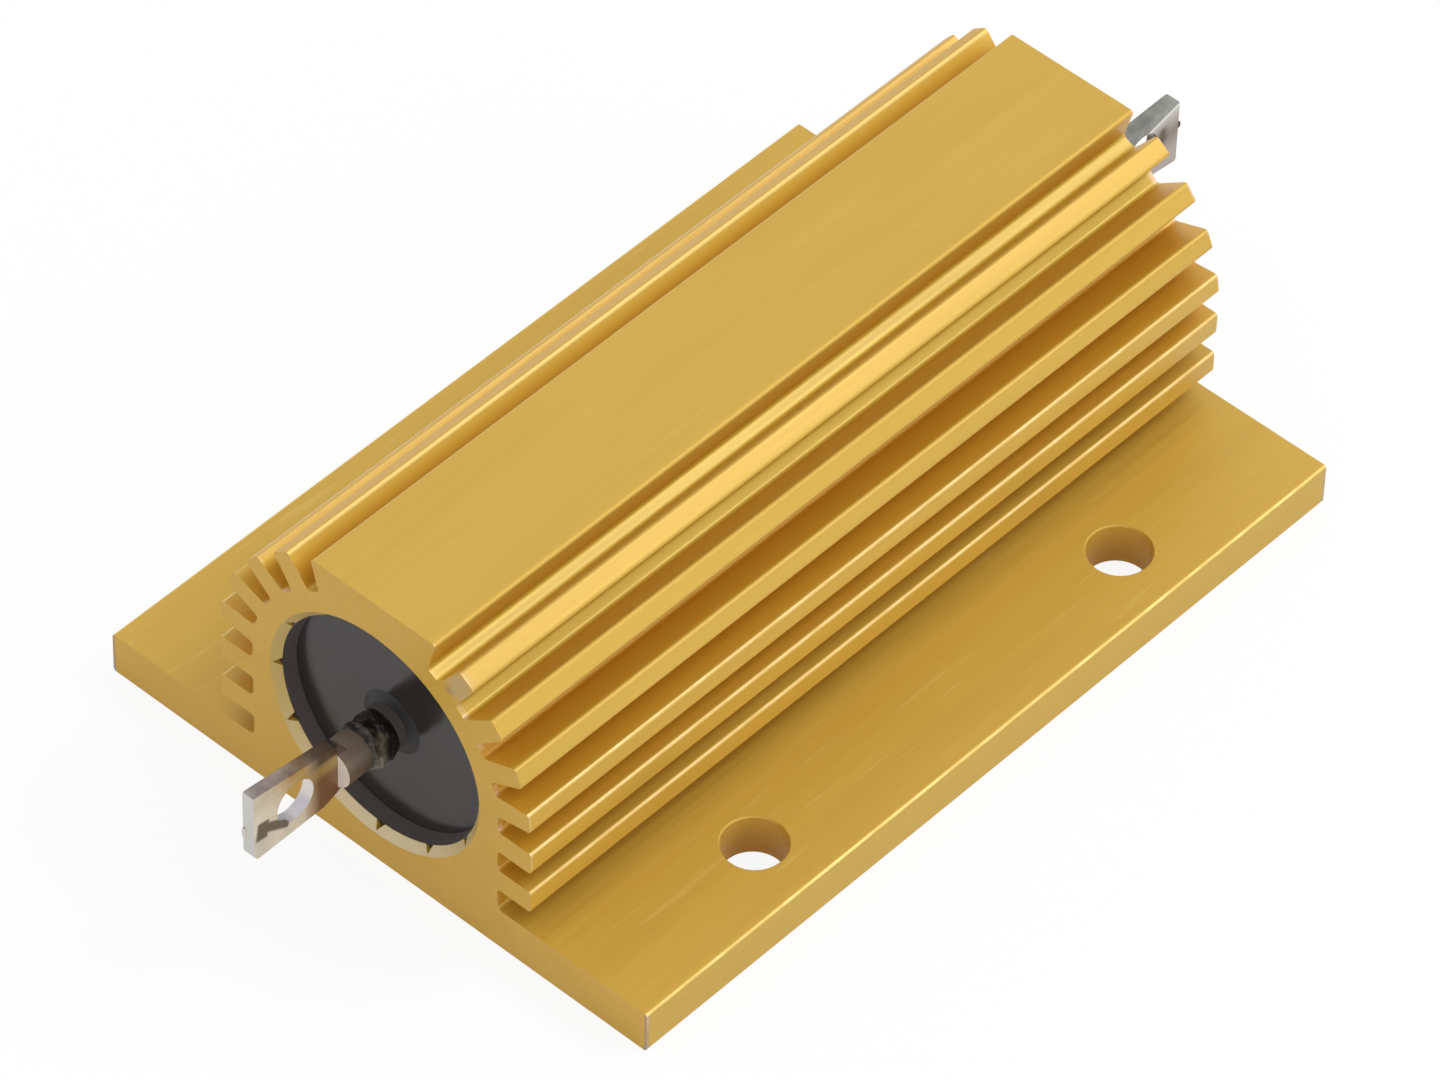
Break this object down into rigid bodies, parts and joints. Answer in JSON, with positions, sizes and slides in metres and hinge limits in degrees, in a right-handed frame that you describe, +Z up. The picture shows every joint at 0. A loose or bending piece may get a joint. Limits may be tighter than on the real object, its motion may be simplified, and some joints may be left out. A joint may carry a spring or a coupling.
{
  "type": "aluminium housed power resistor",
  "caption": "Wirewound power resistor in a finned gold anodised aluminium housing with a screw-down flange and a solder lug at each end.",
  "frame": {"origin": "centre of the flat mounting face under the base", "axes": "+X along the extrusion and the bore, +Y across it, +Z up from the mounting face"},
  "size_m": [0.0874, 0.0468, 0.0235],
  "materials": {
    "gold_anodised": "satin gold anodised extrusion",
    "silicone_compound": "smooth dark grey moulded silicone",
    "ceramic": "fired ceramic",
    "resistance_wire": "drawn alloy wire",
    "cap_steel": "pressed bright",
    "tinned_terminal": "tinned, slightly uneven"
  },
  "bodies": {
    "root": {"housing": "gold_anodised", "moulding": "silicone_compound", "core": "ceramic", "winding": "resistance_wire", "end_cap_left": "cap_steel", "end_cap_right": "cap_steel", "terminal_left": "tinned_terminal", "terminal_right": "tinned_terminal"}
  },
  "joints": []
}
